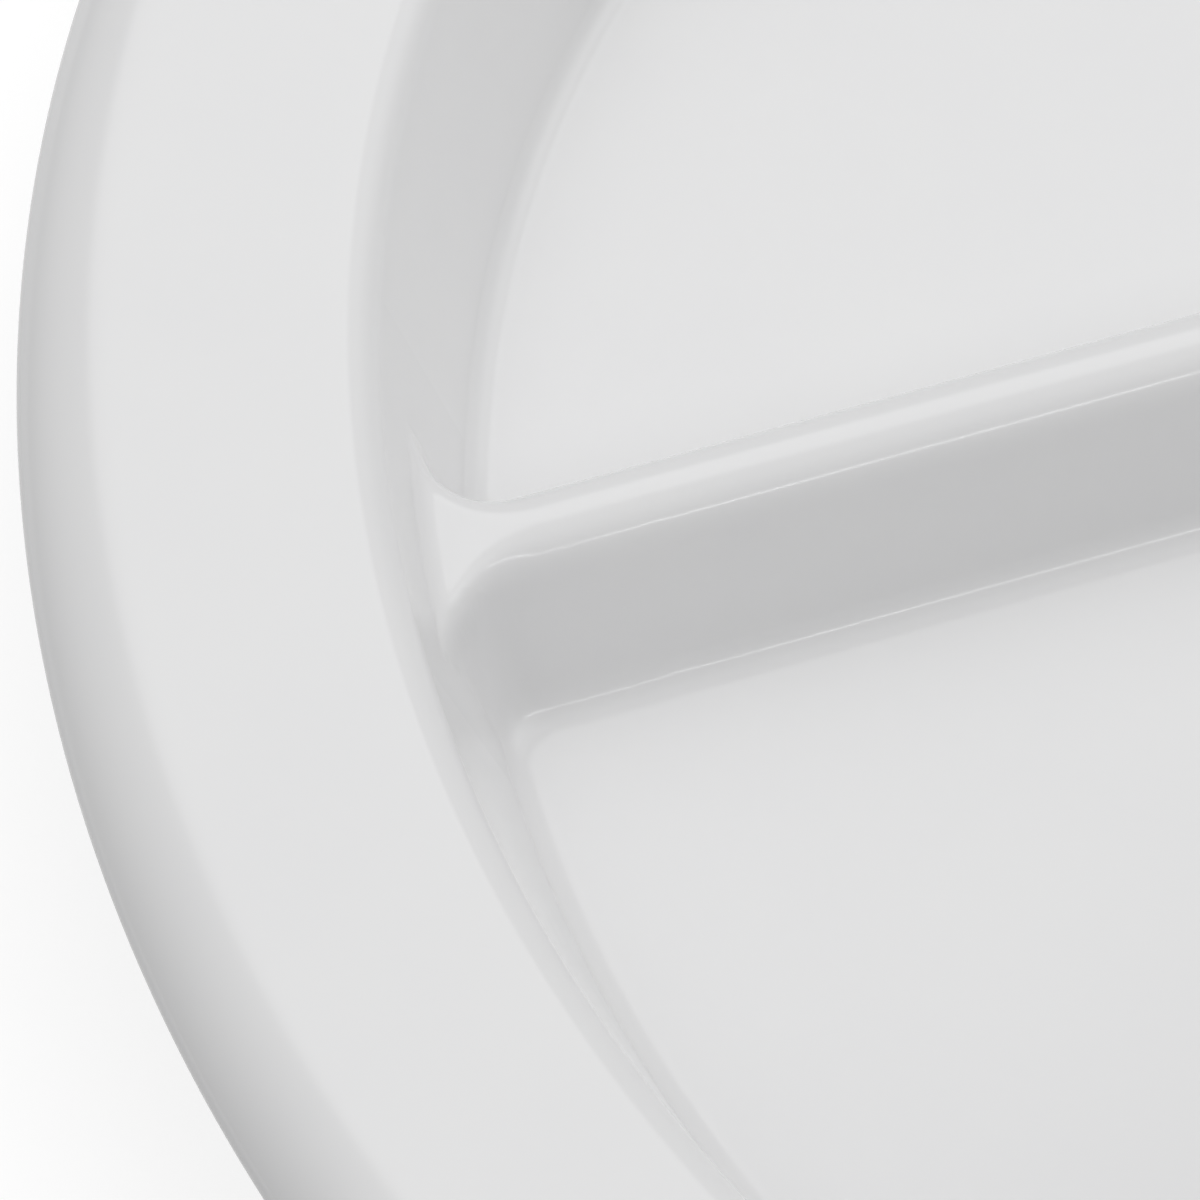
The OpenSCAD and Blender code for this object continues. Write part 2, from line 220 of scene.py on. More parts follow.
# %% [markdown]
# ## The rolled edge
# The rim ends in a roll that stiffens the plate and gives the hand a soft edge. Its section
# is one shell thickness bent round a centre, ending in a half-round nose.

# %% Rolled edge
ROLL_STEPS, NOSE_STEPS, UNDER_ROLL_STEPS = 24, 32, 16


def rim_height(r):
    """Height of the rim's upper face at a radius."""
    return RIM_Z + (r - knee_end_r) * math.tan(RIM_SLOPE)


roll_c = (roll_c_r, roll_c_z)
nose_c = (roll_c_r + (ROLL_R - nose_r) * math.sin(ROLL_ANGLE),
          roll_c_z + (ROLL_R - nose_r) * math.cos(ROLL_ANGLE))
rim_edge = pen_down("rolled_edge", roll_seam_r, rim_height(roll_seam_r))
line_to(roll_start_r, rim_height(roll_start_r))
arc(roll_c, -(RIM_SLOPE + ROLL_ANGLE), ROLL_STEPS)
arc(nose_c, -math.pi, NOSE_STEPS)
arc(roll_c, RIM_SLOPE + ROLL_ANGLE, UNDER_ROLL_STEPS)
line_to(roll_seam_r, rim_height(roll_seam_r) - rim_drop)
line_to(roll_seam_r, rim_height(roll_seam_r))
turn(rim_edge)

# %% [markdown]
# ## The rim
# Between the well and the roll the rim is a plain cone of one thickness. It is drawn from
# the same heights as its neighbours and turned in the same steps, so no gap can open.

# %% Rim
rim = pen_down("sloping_rim", rim_seam_r, rim_height(rim_seam_r))
line_to(roll_seam_r, rim_height(roll_seam_r))
line_to(roll_seam_r, rim_height(roll_seam_r) - rim_drop)
line_to(rim_seam_r, rim_height(rim_seam_r) - rim_drop)
line_to(rim_seam_r, rim_height(rim_seam_r))
turn(rim)

# %% [markdown]
# ## The well wall
# From the floor the wall rises in a soft fillet, runs up steep and straight and rolls
# over a knee onto the rim. The outside follows one shell thickness away. The wall is made
# in three lengths, one for each compartment, because a divider's root stands between them.

# %% Well wall
FILLET_STEPS, KNEE_STEPS, UNDER_KNEE_STEPS = 16, 18, 12


def root_angle(f, n):
    """Angle on the plate of a divider's line, n from its centre line, which lies f off the axis."""
    low = math.asin((f - root_w) / floor_r)
    high = math.asin((f + root_w) / floor_r)
    return low + (high - low) * (n + bar_w) / (2 * bar_w)


arcs_r = CREST_R + DIVIDER_FILLET_R
divider_w = (arcs_r * math.sin(DIVIDER_SLOPE)
             + (DIVIDER_H - arcs_r * (1 - math.cos(DIVIDER_SLOPE))) / math.tan(DIVIDER_SLOPE))
bar_w = divider_w + SEAM_W
root_w = divider_w + ROOT_FLOOR_R + SEAM_W
hub_w = divider_w + ROOT_TOP_R + SEAM_W


def wall(name, start, end):
    """A length of the well wall, from one angle to another."""
    piece = pen_down(name, floor_seam_r, FLOOR_Z)
    line_to(floor_r, FLOOR_Z)
    arc((floor_r, FLOOR_Z + FLOOR_FILLET_R), WALL_SLOPE, FILLET_STEPS)
    line_to(knee_start_r, knee_start_z)
    arc((knee_c_r, knee_c_z), RIM_SLOPE - WALL_SLOPE, KNEE_STEPS)
    line_to(rim_seam_r, rim_height(rim_seam_r))
    line_to(rim_seam_r, rim_height(rim_seam_r) - rim_drop)
    line_to(under_knee_end_r, rim_height(under_knee_end_r) - rim_drop)
    arc((under_knee_c_r, under_knee_c_z), WALL_SLOPE - RIM_SLOPE, UNDER_KNEE_STEPS)
    line_to(under_fillet_end_r, under_fillet_end_z)
    arc((floor_r, UNDER_Z + under_fillet_r), -WALL_SLOPE, FILLET_STEPS)
    line_to(floor_seam_r, UNDER_Z)
    line_to(floor_seam_r, FLOOR_Z)
    return turn(piece, start, end)


long_low, long_high = root_angle(DIVIDER_OFFSET, -bar_w), root_angle(DIVIDER_OFFSET, bar_w)
back_low, back_high = math.pi / 2 + root_angle(0, -bar_w), math.pi / 2 + root_angle(0, bar_w)
main_wall = wall("main_compartment_wall", math.pi - long_low, 2 * math.pi + long_low)
left_wall = wall("left_compartment_wall", back_high, math.pi - long_high)
right_wall = wall("right_compartment_wall", long_high, back_low)

# %% [markdown]
# ## The foot ring
# The plate stands on a low ring with a flat land, softened at both corners.

# %% Foot ring
FOOT_STEPS = 8

foot_out_r = floor_r - FOOT_INSET
foot_in_r = foot_out_r - FOOT_W
draft = (FOOT_W - FOOT_LAND_W) / 2 - FOOT_EDGE_R
foot_ring = pen_down("foot_ring_moulded", foot_out_r, FOOT_H)
line_to(foot_in_r, FOOT_H)
line_to(foot_in_r + draft, FOOT_EDGE_R)
arc((foot_in_r + draft + FOOT_EDGE_R, FOOT_EDGE_R), math.pi / 2, FOOT_STEPS)
line_to(foot_out_r - draft - FOOT_EDGE_R, 0)
arc((foot_out_r - draft - FOOT_EDGE_R, FOOT_EDGE_R), math.pi / 2, FOOT_STEPS)
line_to(foot_out_r, FOOT_H)
turn(foot_ring)

# %% [markdown]
# ## The shape of a divider
# A divider is a ridge with a round crest, straight flanks and a fillet at the floor. Where
# it meets the wall, the corner between them is small at the floor and wide at the crest,
# and the crest sweeps up the wall. A bevel has one radius along its edge, so this root
# can't be bevelled. Each height has a plan that is easy to say, though: the wall's line,
# the flank's line and an arc between them. So the surface is found by asking, over each
# point of a grid, up to which height the point is still inside that plan.

# %% Heights of the moulding
HALVINGS = 30


def arch(radius, x):
    """Height of a circle over its centre, at a distance to the side, and 0 past its edge."""
    return np.sqrt(np.maximum(0, radius**2 - x**2))


def wall_top(r):
    """Height of the well's inner surface."""
    return np.select(
        [r <= floor_r, r <= fillet_end_r, r <= knee_start_r, r <= knee_end_r],
        [FLOOR_Z, FLOOR_Z + FLOOR_FILLET_R - arch(FLOOR_FILLET_R, r - floor_r),
         fillet_end_z + (r - fillet_end_r) * math.tan(WALL_SLOPE),
         knee_c_z + arch(KNEE_R, r - knee_c_r)],
        rim_height(r))


def wall_under(r):
    """Height of the underside."""
    return np.select(
        [r <= floor_r, r <= under_fillet_end_r, r <= under_knee_start_r, r <= under_knee_end_r],
        [UNDER_Z, UNDER_Z + under_fillet_r - arch(under_fillet_r, r - floor_r),
         under_wall_z + r * math.tan(WALL_SLOPE),
         under_knee_c_z + arch(UNDER_KNEE_R, r - under_knee_c_r)],
        rim_height(r) - rim_drop)


def wall_r(z):
    """Inner radius of the wall at a height above the floor."""
    fillet = floor_r + arch(FLOOR_FILLET_R, FLOOR_FILLET_R - z)
    return np.where(z <= fillet_end_z - FLOOR_Z, fillet, wall_foot_r + z / math.tan(WALL_SLOPE))


def ridge_w(s, z):
    """Half width of a ridge at a height. Its sizes s: foot radius, crest radius and height."""
    foot_r, top_r, height = s
    foot_z = foot_r * (1 - math.cos(DIVIDER_SLOPE))
    top_z = height - top_r * (1 - math.cos(DIVIDER_SLOPE))
    flank = divider_w - foot_r * math.sin(DIVIDER_SLOPE) - (z - foot_z) / math.tan(DIVIDER_SLOPE)
    return np.select(
        [z <= 0, z <= foot_z, z <= top_z, z < height],
        [divider_w, divider_w - arch(foot_r, foot_r - z), flank, arch(top_r, z - height + top_r)],
        0)


def highest(inside, low, high):
    """The greatest height at which each point is inside, between two heights."""
    for _ in range(HALVINGS):
        z = (low + high) / 2
        found = inside(z)
        low, high = np.where(found, z, low), np.where(found, high, z)
    return (low + high) / 2


def corner_r(rise):
    """Radius of a root's corner, at a share of the crest's height. It widens close to the crest."""
    return ROOT_FLOOR_R + (ROOT_TOP_R - ROOT_FLOOR_R) * rise**ROOT_GROWTH


def in_corner(a, b, r):
    """Whether faces at distances a and b share a rounded corner that holds this point."""
    return (a < r) & (b < r) & ((r - a)**2 + (r - b)**2 > r**2)


RIB = (DIVIDER_FILLET_R, CREST_R, DIVIDER_H)
groove_foot_r = DIVIDER_FILLET_R + SHELL_T
groove_arcs_r = groove_foot_r + GROOVE_TOP_R
groove_h = (groove_arcs_r * (1 - math.cos(DIVIDER_SLOPE))
            + (divider_w - groove_arcs_r * math.sin(DIVIDER_SLOPE)) * math.tan(DIVIDER_SLOPE))
GROOVE = (groove_foot_r, GROOVE_TOP_R, groove_h)
print(f"a divider is {2 * divider_w:.1f} mm wide at its foot and {DIVIDER_H} mm high")

# %% [markdown]
# The upper and lower faces of a divider are these heights over the plan, and so are the
# faces of the hub where the three dividers meet. Underneath, the divider is hollow, because
# a moulding keeps one thickness to cure evenly.

# %% Faces of the dividers and of the hub
sweep_start_r = (wall_foot_r + (DIVIDER_H + CREST_ROOT_R) / math.tan(WALL_SLOPE)
                 - CREST_ROOT_R / math.sin(WALL_SLOPE))
sweep_end_r = sweep_start_r + CREST_ROOT_R * math.sin(WALL_SLOPE)


def crest_z(r):
    """Height of the crest over the floor, where it sweeps up the wall."""
    sweep = DIVIDER_H + CREST_ROOT_R - arch(CREST_ROOT_R, r - sweep_start_r)
    return np.select([r <= sweep_start_r, r <= sweep_end_r], [DIVIDER_H, sweep],
                     wall_top(r) - FLOOR_Z)


def arm_top(x, y, f):
    """Upper face of a divider along +X, f from the plate's axis."""
    r = np.hypot(x, y)
    crest = crest_z(r)

    def inside(z):
        b = np.abs(y - f) - ridge_w(RIB, z - crest + DIVIDER_H)
        return (b < 0) | in_corner(wall_r(z) - r, b, corner_r(z / DIVIDER_H))

    return np.maximum(wall_top(r), FLOOR_Z + highest(inside, np.zeros_like(r), crest))


def groove_end(f):
    """How far along a divider its hollow runs."""
    return math.sqrt(foot_in_r**2 - (f + divider_w)**2) - divider_w - SEAM_W


def arm_under(x, y, f):
    """Lower face of a divider: the underside, and the hollow with its rounded end."""
    d = np.hypot(np.maximum(0, x - groove_end(f)), y - f)
    hollow = highest(lambda z: d < ridge_w(GROOVE, z), np.zeros_like(d), np.full_like(d, groove_h))
    return np.maximum(wall_under(np.hypot(x, y)), UNDER_Z + hollow)


def hub_face(x, y, s, base, more):
    """A face of the hub: the long ridge along X, and the back one behind its centre line."""
    x, y = np.abs(x), y - DIVIDER_OFFSET
    low, high = np.zeros_like(y), np.full_like(y, s[2])

    def inside(z):
        a, b = np.abs(y) - ridge_w(s, z), x - ridge_w(s, z)
        return (a < 0) | (b < 0) | in_corner(a, b, more + corner_r(z / s[2]))

    one = highest(lambda z: np.abs(y) < ridge_w(s, z), low, high)
    both = highest(inside, low, high)
    return base + np.where(y <= 0, one, both)


# %% [markdown]
# ## Laying a grid over the plan
# A grid primitive is laid over the piece's plan and extruded, which gives two equal skins
# with a wall round them. Each skin's points then take their heights. The lines of the grid
# lie close together where the surface bends, and the outer ones follow the wall's arcs, so
# the piece meets its neighbours exactly.

# %% Grid piece
def between(*stops):
    """Values that pass through stops: stops are (value, steps to the next) and a last value."""
    values = [stops[0][0]]
    for (start, steps), nxt in zip(stops, stops[1:]):
        end = nxt[0] if isinstance(nxt, tuple) else nxt
        values += [start + (end - start) * (i + 1) / steps for i in range(steps)]
    return values


def bent(centre, radius, start, end, steps):
    """Places of points spaced evenly round an arc, seen from the side."""
    return [centre + radius * math.sin(start + (end - start) * i / steps) for i in range(steps + 1)]


def grid_piece(name, plan, top, under):
    """A closed solid between two faces over the same grid of plan points."""
    rows, cols = plan.shape[:2]
    bpy.ops.object.select_all(action='DESELECT')
    bpy.ops.mesh.primitive_grid_add(x_subdivisions=cols - 1, y_subdivisions=rows - 1, size=1)
    piece = bpy.context.object
    piece.name = piece.data.name = name
    bpy.ops.object.mode_set(mode='EDIT')
    bpy.ops.mesh.select_all(action='SELECT')
    bpy.ops.mesh.extrude_region_move(TRANSFORM_OT_translate={"value": (0, 0, 1)})
    bpy.ops.object.mode_set(mode='OBJECT')
    x, y = plan[..., 0].ravel(), plan[..., 1].ravel()
    skins = [np.stack([x, y, face(x, y)], axis=-1) for face in (under, top)]
    piece.data.vertices.foreach_set("co", np.concatenate(skins).ravel() * MM)
    bpy.ops.object.mode_set(mode='EDIT')
    face_outward()
    smooth(piece)
    return piece


CREST_LINES, FLANK_LINES, FOOT_LINES, EDGE_LINES = 24, 12, 14, 3
crest_edge = CREST_R * math.sin(DIVIDER_SLOPE)
flank_foot = divider_w - DIVIDER_FILLET_R * math.sin(DIVIDER_SLOPE)
half = (bent(0, CREST_R, 0, DIVIDER_SLOPE, CREST_LINES)
        + between((crest_edge, FLANK_LINES), flank_foot)[1:-1]
        + [divider_w - x for x in reversed(bent(0, DIVIDER_FILLET_R, 0, DIVIDER_SLOPE, FOOT_LINES))]
        + between((divider_w, EDGE_LINES), bar_w)[1:])
columns = [-n for n in reversed(half[1:])] + half
print(f"{len(columns)} grid lines across a divider")

# %% [markdown]
# ## The dividers
# The straight part needs few rows, the rounded end of the hollow needs more, and at the
# root the rows turn from straight lines into arcs about the plate's axis and climb the
# wall. One divider is laid along +X. The left one is its mirror image, and the back one
# lies on the plate's axis, so it gets an offset of nothing and a quarter turn.

# %% Dividers
ROOT_ROWS, WALL_ROWS, UNDER_KNEE_ROWS, LEAST_ROW = 14, 40, 8, 0.02
STRAIGHT_ROWS, SPREAD_ROWS, FLAT_ROWS = 8, 8, 3
root_top_r = wall_foot_r + DIVIDER_H / math.tan(WALL_SLOPE)
root_start_r = min(floor_r - ROOT_FLOOR_R, root_top_r - ROOT_TOP_R) - SEAM_W
wall_rows = sorted(set(
    between((root_start_r, ROOT_ROWS), (floor_seam_r, FLAT_ROWS), floor_r)
    + bent(floor_r, FLOOR_FILLET_R, 0, WALL_SLOPE, FILLET_STEPS)
    + between((fillet_end_r, WALL_ROWS), knee_start_r)
    + bent(knee_c_r, -KNEE_R, RIM_SLOPE, WALL_SLOPE, KNEE_STEPS)
    + between((under_knee_start_r, UNDER_KNEE_ROWS), under_knee_end_r) + [rim_seam_r]))
wall_rows = [r for i, r in enumerate(wall_rows) if i == 0 or r - wall_rows[i - 1] > LEAST_ROW]


def arm_end(f):
    """Where a divider's straight part stops and its root begins to spread."""
    return math.sqrt((root_start_r - ROW_TURN)**2 - (f + bar_w)**2)


def arm_plan(f, start):
    """Grid of plan points for a divider along +X."""
    end = arm_end(f)
    across = np.array(columns)
    angles = np.array([root_angle(f, n) for n in columns])
    straight = between((start, STRAIGHT_ROWS), (groove_end(f), 1), groove_end(f) + WELD)
    straight += [groove_end(f) + n for n in half[1:]]
    straight += between((groove_end(f) + bar_w, FLAT_ROWS), end)[1:]
    rows = [np.stack([np.full_like(across, u), f + across], axis=-1) for u in straight]
    last = rows[-1]
    first = root_start_r * np.stack([np.cos(angles), np.sin(angles)], axis=-1)
    rows += [last * (1 - t) + first * t for t in between((0, SPREAD_ROWS), 1)[1:-1]]
    rows += [r * np.stack([np.cos(angles), np.sin(angles)], axis=-1) for r in wall_rows]
    return np.array(rows)


def arm(name, f, start):
    """A divider along +X."""
    return grid_piece(name, arm_plan(f, start),
                      lambda x, y: arm_top(x, y, f), lambda x, y: arm_under(x, y, f))


right_divider = arm("right_divider_moulded", DIVIDER_OFFSET, hub_w)
left_divider = arm("left_divider_moulded", DIVIDER_OFFSET, hub_w)
left_divider.scale.x = -1
bpy.ops.object.transform_apply(scale=True)
bpy.ops.object.mode_set(mode='EDIT')
face_outward()
back_divider = arm("back_divider_moulded", 0, DIVIDER_OFFSET + hub_w)
back_divider.rotation_euler.z = math.pi / 2
bpy.ops.object.transform_apply(rotation=True)

# %% [markdown]
# ## The floors
# Each compartment's floor is a flat piece with an odd outline: an arc where it meets the
# wall, straight sides along the dividers, and slanting ones where their roots spread. The
# pen draws it in plan, and the filled outline is extruded to the shell's thickness.

# %% Floors
def polar(r, angle):
    """A plan point, from its radius and angle."""
    return r * math.cos(angle), r * math.sin(angle)


def floor_plate(piece):
    """Fills a plan outline and gives it the shell's thickness, at the level of the floor."""
    weld()
    bpy.ops.mesh.edge_face_add()
    bpy.ops.transform.translate(value=(0, 0, UNDER_Z * MM))
    bpy.ops.mesh.extrude_region_move(TRANSFORM_OT_translate={"value": (0, 0, SHELL_T * MM)})
    face_outward()
    smooth(piece)
    return piece


def sweep(start, end):
    """Draws the arc along the wall, in the wall's own steps."""
    arc((0, 0), end - start, round(abs(end - start) / RING_STEP))


back_start = DIVIDER_OFFSET + hub_w
main_floor = pen_down("main_compartment_floor", -arm_end(DIVIDER_OFFSET), DIVIDER_OFFSET - bar_w,
                      plan=True)
line_to(*polar(root_start_r, math.pi - long_low))
line_to(*polar(floor_seam_r, math.pi - long_low))
sweep(math.pi - long_low, 2 * math.pi + long_low)
line_to(*polar(root_start_r, long_low))
line_to(arm_end(DIVIDER_OFFSET), DIVIDER_OFFSET - bar_w)
line_to(-arm_end(DIVIDER_OFFSET), DIVIDER_OFFSET - bar_w)
floor_plate(main_floor)

right_floor = pen_down("right_compartment_floor", hub_w, DIVIDER_OFFSET + bar_w, plan=True)
line_to(arm_end(DIVIDER_OFFSET), DIVIDER_OFFSET + bar_w)
line_to(*polar(root_start_r, long_high))
line_to(*polar(floor_seam_r, long_high))
sweep(long_high, back_low)
line_to(*polar(root_start_r, back_low))
line_to(bar_w, arm_end(0))
line_to(bar_w, back_start)
line_to(hub_w, back_start)
line_to(hub_w, DIVIDER_OFFSET + bar_w)
floor_plate(right_floor)

left_floor = pen_down("left_compartment_floor", -hub_w, DIVIDER_OFFSET + bar_w, plan=True)
line_to(-hub_w, back_start)
line_to(-bar_w, back_start)
line_to(-bar_w, arm_end(0))
line_to(*polar(root_start_r, back_high))
line_to(*polar(floor_seam_r, back_high))
sweep(back_high, math.pi - long_high)
line_to(*polar(root_start_r, math.pi - long_high))
line_to(-arm_end(DIVIDER_OFFSET), DIVIDER_OFFSET + bar_w)
line_to(-hub_w, DIVIDER_OFFSET + bar_w)
floor_plate(left_floor)

# %% [markdown]
# ## The hub
# Where the back divider leaves the long one, both corners are rounded in the same way as
# at the wall, tight at the floor and wide at the crest.

# %% Hub
spread = between((bar_w, ROOT_ROWS), hub_w)[1:]
hub_x = [-x for x in reversed(spread)] + columns + spread
hub_y = columns + spread
hub_plan = np.array([[(x, DIVIDER_OFFSET + y) for x in hub_x] for y in hub_y])
hub = grid_piece("divider_hub_moulded", hub_plan,
                 lambda x, y: hub_face(x, y, RIB, FLOOR_Z, 0),
                 lambda x, y: hub_face(x, y, GROOVE, UNDER_Z, SHELL_T))

# %% [markdown]
# ## Colours and nodes
# Colours are written as sRGB hex, as a paint chart gives them, and turned to the linear
# values that Blender counts in. One helper adds a node with its settings and its links.

# %% Helpers for materials
WHITE = "#ffffff"


def colour(code):
    """A linear colour, from an sRGB hex code."""
    channels = [int(code[i:i + 2], 16) / 255 for i in (1, 3, 5)]
    return [c / 12.92 if c <= 0.04045 else ((c + 0.055) / 1.055)**2.4 for c in channels] + [1]


def add(tree, kind, settings=None, **inputs):
    """Adds a node, sets its properties, and sets or links its inputs. Input i0 is the first one."""
    node = tree.nodes.new(kind)
    for name, value in (settings or {}).items():
        setattr(node, name, value)
    for name, value in inputs.items():
        numbered = name[0] == "i" and name[1:].isdigit()
        socket = node.inputs[int(name[1:]) if numbered else name.replace("_", " ")]
        if isinstance(value, bpy.types.NodeSocket):
            tree.links.new(value, socket)
        else:
            socket.default_value = value
    return node


# %% [markdown]
# ## White melamine
# Melamine is a hard resin filled with cellulose and pressed in a polished steel mould. It
# comes out dense and glossy, with a faint waviness from shrinking, a slight mottle from
# the filler, and fine scratches once it has been used. The white is a neutral light grey,
# and the highlights are crisp but never sharp like glass.

# %% Melamine
MOTTLE, HAZE, RIPPLE = 15, 25, 9  # sizes of the clouds, patches and waves
SCRATCH_L, SCRATCH_THINNER, SCRATCH_TURN = 6, 14, 0.6
RESIN_IOR = 1.58


def melamine(name, body, shade, gloss, scratch, wave):
    """Moulded melamine: two tones, least and greatest roughness, depth of scratches and waves."""
    material = bpy.data.materials.new(name)
    material.use_nodes = True
    tree = material.node_tree
    tree.nodes.clear()
    where = add(tree, "ShaderNodeTexCoord").outputs["Object"]
    # Filler mottle: soft clouds with finer grains in them
    cloud = add(tree, "ShaderNodeTexNoise", Vector=where, Scale=1 / (MOTTLE * MM), Detail=4.0,
                Roughness=0.6)
    tone = add(tree, "ShaderNodeMix", {"data_type": 'RGBA'}, Factor=cloud.outputs["Fac"],
               i6=colour(shade), i7=colour(body))
    # Handling haze: patches that are a little less polished
    haze = add(tree, "ShaderNodeTexNoise", Vector=where, Scale=1 / (HAZE * MM), Detail=3.0)
    polish = add(tree, "ShaderNodeMapRange", Value=haze.outputs["Fac"], From_Min=0.35, From_Max=0.7,
                 To_Min=gloss[0], To_Max=gloss[1])
    # Shrinkage waviness, about a thousandth of a millimetre high where the plate is glossy
    ripple = add(tree, "ShaderNodeTexNoise", Vector=where, Scale=1 / (RIPPLE * MM), Detail=1.0)
    swell = add(tree, "ShaderNodeBump", Height=ripple.outputs["Fac"], Strength=1.0,
                Distance=wave * MM)
    # Use scratches: long thin cells, drawn coarser than the real ones
    turned = add(tree, "ShaderNodeMapping", Vector=where, Rotation=(0, 0, SCRATCH_TURN),
                 Scale=(1, SCRATCH_THINNER, 1))
    marks = add(tree, "ShaderNodeTexNoise", Vector=turned.outputs["Vector"],
                Scale=1 / (SCRATCH_L * MM), Detail=6.0)
    rub = add(tree, "ShaderNodeBump", Height=marks.outputs["Fac"], Strength=1.0,
              Distance=scratch * MM, Normal=swell.outputs["Normal"])
    surface = add(tree, "ShaderNodeBsdfPrincipled", Base_Color=tone.outputs["Result"],
                  Roughness=polish.outputs["Result"], Normal=rub.outputs["Normal"], IOR=RESIN_IOR)
    add(tree, "ShaderNodeOutputMaterial", Surface=surface.outputs["BSDF"])
    return material


glossy_melamine = melamine("glossy_moulded_melamine", "#e8e8e8", "#e5e5e6", (0.12, 0.17),
                           scratch=0.0003, wave=0.001)
worn_melamine = melamine("worn_moulded_melamine", "#e5e5e4", "#e1e1e0", (0.35, 0.5),
                         scratch=0.004, wave=0.004)
print("materials:", glossy_melamine.name, worn_melamine.name)

# %% [markdown]
# ## Dressing the pieces
# Each new piece takes the place of its CAD solid, gets its finish and rides on the plate's
# one body.

# %% Dress
stands_for = {
    rim_edge: "rim_edge", rim: "rim",
    main_wall: "main_wall", left_wall: "left_wall", right_wall: "right_wall",
    main_floor: "main_floor", left_floor: "left_floor", right_floor: "right_floor",
    left_divider: "left_divider", right_divider: "right_divider", back_divider: "back_divider",
    hub: "divider_hub", foot_ring: "foot_ring"}
for piece, node in stands_for.items():
    piece.data.materials.clear()
    piece.data.materials.append(worn_melamine if node == "foot_ring" else glossy_melamine)
    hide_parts(node)
    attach(piece, "root")
print(f"{len(stands_for)} pieces made for {len(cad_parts)} CAD solids")

# %% [markdown]
# ## The studio floor
# The plate stands on a sweep. Its paper is a mid grey, which throws little light up at the
# rolled edge. Seen by the camera or in a reflection, the sweep has light of its own on top, so
# that it comes out white while it keeps the plate's shadow. It lies a hair below the foot, so
# that the two faces never coincide.

# %% Studio floor
FLOOR_SIZE, FLOOR_GAP = 6, 0.02  # metres across, and millimetres below the foot
SWEEP_GREY, SWEEP_GLOW = "#9a9a9a", 0.78

bpy.ops.object.select_all(action='DESELECT')
bpy.ops.mesh.primitive_plane_add(size=FLOOR_SIZE, location=(0, 0, -FLOOR_GAP * MM))
studio_floor = bpy.context.object
studio_floor.name = "studio_floor"
paper = bpy.data.materials.new("studio_sweep")
paper.use_nodes = True
tree = paper.node_tree
tree.nodes.clear()
ray = add(tree, "ShaderNodeLightPath").outputs
seen = ray["Is Camera Ray"]
for kind in ("Is Glossy Ray", "Is Transmission Ray"):
    seen = add(tree, "ShaderNodeMath", {"operation": 'MAXIMUM'}, i0=seen, i1=ray[kind]).outputs[0]
lift = add(tree, "ShaderNodeMath", {"operation": 'MULTIPLY'}, i0=seen, i1=SWEEP_GLOW)
matt = add(tree, "ShaderNodeBsdfDiffuse", Color=colour(SWEEP_GREY))
shine = add(tree, "ShaderNodeEmission", Color=colour(WHITE), Strength=lift.outputs[0])
both = add(tree, "ShaderNodeAddShader", i0=matt.outputs[0], i1=shine.outputs[0])
add(tree, "ShaderNodeOutputMaterial", Surface=both.outputs[0])
studio_floor.data.materials.append(paper)
print(f"{studio_floor.name}: {FLOOR_SIZE} m across")

# %% [markdown]
# ## Light
# A white plate is read from its greys, and a glossy one mirrors whatever lights it. A lamp
# with a crisp edge would draw that edge on every bend, so the broad lights are drawn in the
# world: an even base, a wide glow overhead, a narrower one to the right as the main light, and
# a weak low one at the back left for the rolled edge. The flank that faces the camera gets the
# least. Behind the plate hangs a round panel that fades towards its edge. It is near, so the
# back of the plate gets more of it than the front.

# %% World light
BASE = 0.49
# The azimuth, elevation, radiance and focus of each glow
GLOWS = {"overhead": (0, 90, 0.52, 8), "main": (0, 43, 1.2, 15), "edge": (125, 25, 0.35, 12)}


def towards(azimuth, elevation):
    """The direction from the plate to a light, with both angles in degrees."""
    azimuth, elevation = math.radians(azimuth), math.radians(elevation)
    return Vector((math.cos(elevation) * math.cos(azimuth),
                   math.cos(elevation) * math.sin(azimuth), math.sin(elevation)))


def glow(tree, direction, below, azimuth, elevation, radiance, focus):
    """Adds a glow to the brightness below it. Radiance 1 all round lights a white card to white."""
    near = add(tree, "ShaderNodeVectorMath", {"operation": 'DOT_PRODUCT'},
               i0=direction, i1=towards(azimuth, elevation)).outputs["Value"]
    # The shine falls off as exp(focus * (near - 1))
    fall = add(tree, "ShaderNodeMath", {"operation": 'MULTIPLY_ADD'}, i0=near, i1=focus, i2=-focus)
    shine = add(tree, "ShaderNodeMath", {"operation": 'EXPONENT'}, i0=fall.outputs[0])
    total = add(tree, "ShaderNodeMath", {"operation": 'MULTIPLY_ADD'}, i0=shine.outputs[0],
                i1=radiance, i2=below)
    return total.outputs[0]


world = bpy.data.worlds.new("studio_world")
bpy.context.scene.world = world
world.use_nodes = True
tree = world.node_tree
tree.nodes.clear()
direction = add(tree, "ShaderNodeTexCoord").outputs["Generated"]
level = BASE
for numbers in GLOWS.values():
    level = glow(tree, direction, level, *numbers)
background = add(tree, "ShaderNodeBackground", Color=colour(WHITE), Strength=level)
add(tree, "ShaderNodeOutputWorld", Surface=background.outputs[0])
print(world.name, "with the glows:", ", ".join(GLOWS))

# %% [markdown]
# The panel is a clear disc that shines fully out to one radius and fades to nothing at its
# edge. It is clear so that it adds to the world's light behind it and hides none of it. Only
# the strip lamp is crisp: it draws the thin lines along the radii.

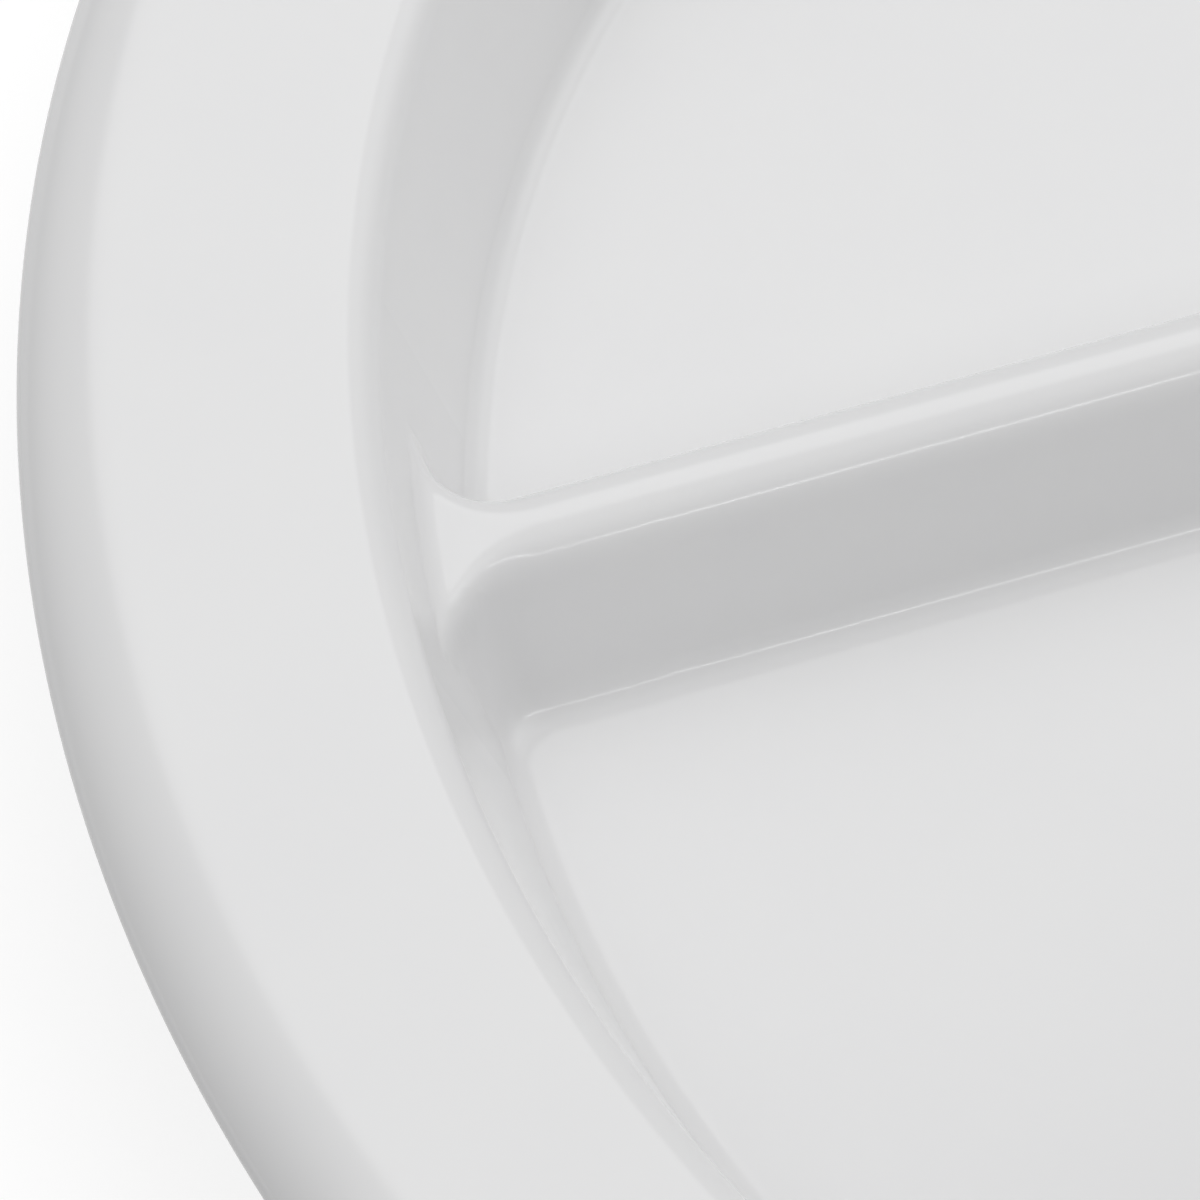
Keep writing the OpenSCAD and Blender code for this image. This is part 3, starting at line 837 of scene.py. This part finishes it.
# %% Back panel and strip lamp
PANEL_R, PANEL_FULL_R, PANEL_SIDES, PANEL_RADIANCE = 0.233, 0.134, 96, 1.25
PANEL_WAY, PANEL_AWAY = towards(85, 50), 0.5
STRIP_L, STRIP_W, STRIP_RADIANCE = 0.9, 0.05, 7.7
STRIP_WAY, STRIP_AWAY = towards(-60, 47), 1.6

bpy.ops.mesh.primitive_circle_add(vertices=PANEL_SIDES, radius=PANEL_R, fill_type='NGON',
                                  location=PANEL_AWAY * PANEL_WAY)
panel = bpy.context.object
panel.name = "back_panel"
panel.rotation_euler = PANEL_WAY.to_track_quat('Z', 'Y').to_euler()
panel.visible_camera = False
diffuser = bpy.data.materials.new("back_panel_diffuser")
diffuser.use_nodes = True
tree = diffuser.node_tree
tree.nodes.clear()
spot = add(tree, "ShaderNodeTexCoord").outputs["Object"]
middle = add(tree, "ShaderNodeVectorMath", {"operation": 'LENGTH'}, i0=spot)
fade = add(tree, "ShaderNodeMapRange", {"interpolation_type": 'SMOOTHSTEP'},
           Value=middle.outputs["Value"], From_Min=PANEL_R, From_Max=PANEL_FULL_R,
           To_Min=0.0, To_Max=PANEL_RADIANCE)
shine = add(tree, "ShaderNodeEmission", Color=colour(WHITE), Strength=fade.outputs["Result"])
clear = add(tree, "ShaderNodeBsdfTransparent")
both = add(tree, "ShaderNodeAddShader", i0=clear.outputs[0], i1=shine.outputs[0])
add(tree, "ShaderNodeOutputMaterial", Surface=both.outputs[0])
panel.data.materials.append(diffuser)

strip = bpy.data.lights.new("edge_strip", 'AREA')
strip.shape = 'RECTANGLE'
strip.size, strip.size_y = STRIP_L, STRIP_W
strip.energy = STRIP_RADIANCE * math.pi * STRIP_L * STRIP_W
lamp = bpy.data.objects.new("edge_strip", strip)
bpy.context.scene.collection.objects.link(lamp)
lamp.location = STRIP_AWAY * STRIP_WAY
lamp.rotation_euler = (-STRIP_WAY).to_track_quat('-Z', 'Y').to_euler()
print("lamps:", panel.name, "and", lamp.name)

bpy.context.scene.view_settings.view_transform = 'Standard'
